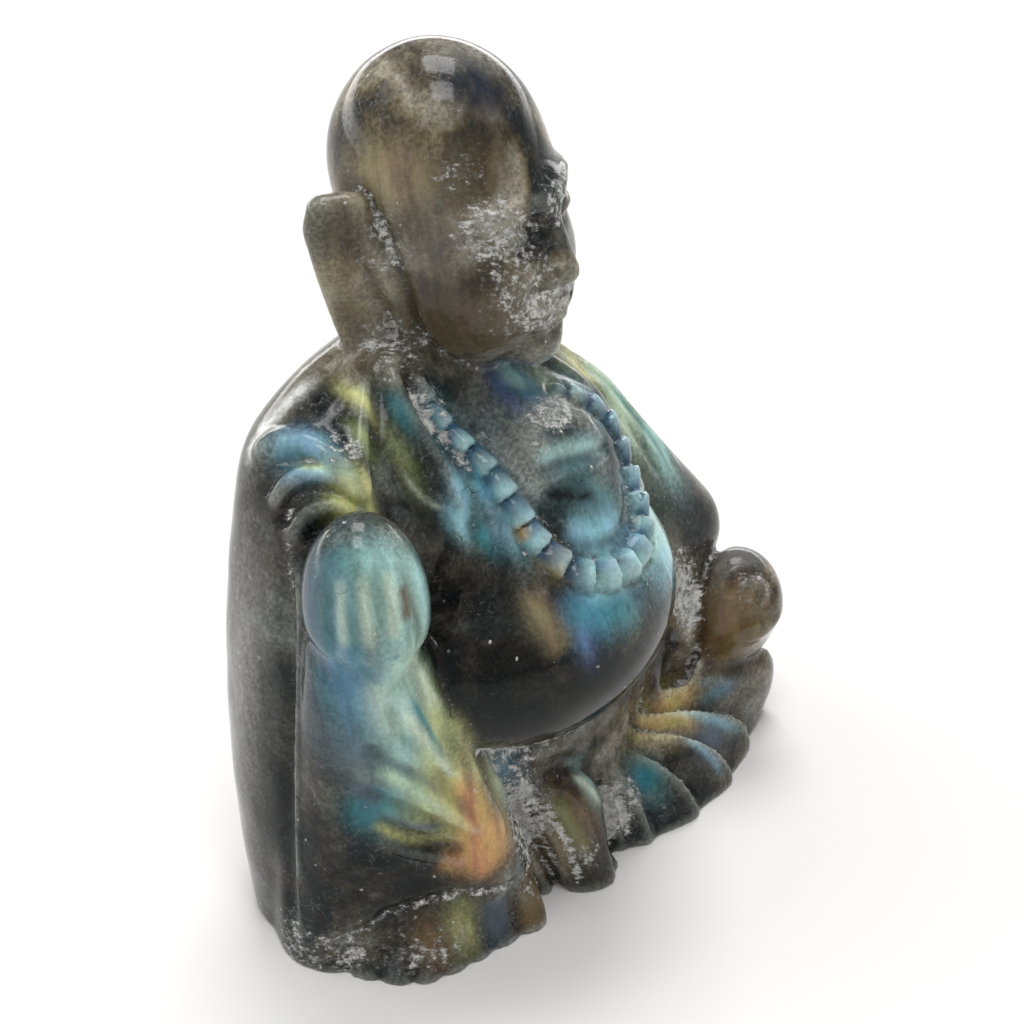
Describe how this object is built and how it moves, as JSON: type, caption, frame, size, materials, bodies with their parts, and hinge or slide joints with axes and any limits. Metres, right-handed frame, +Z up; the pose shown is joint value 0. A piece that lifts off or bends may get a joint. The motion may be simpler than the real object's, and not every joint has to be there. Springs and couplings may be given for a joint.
{
  "type": "carved stone buddha",
  "caption": "Seated buddha carved from one dark, iridescent stone, right knee raised, with a necklace and a flat underside.",
  "frame": {"origin": "middle of the bounding box's footprint, on the flat underside", "axes": "+Z up, the figure faces -Y, its right hand is towards -X"},
  "size_m": [0.0776, 0.0444, 0.1004],
  "materials": {
    "labradorite": "polished"
  },
  "bodies": {
    "root": {"carved_buddha": "labradorite"}
  },
  "joints": []
}
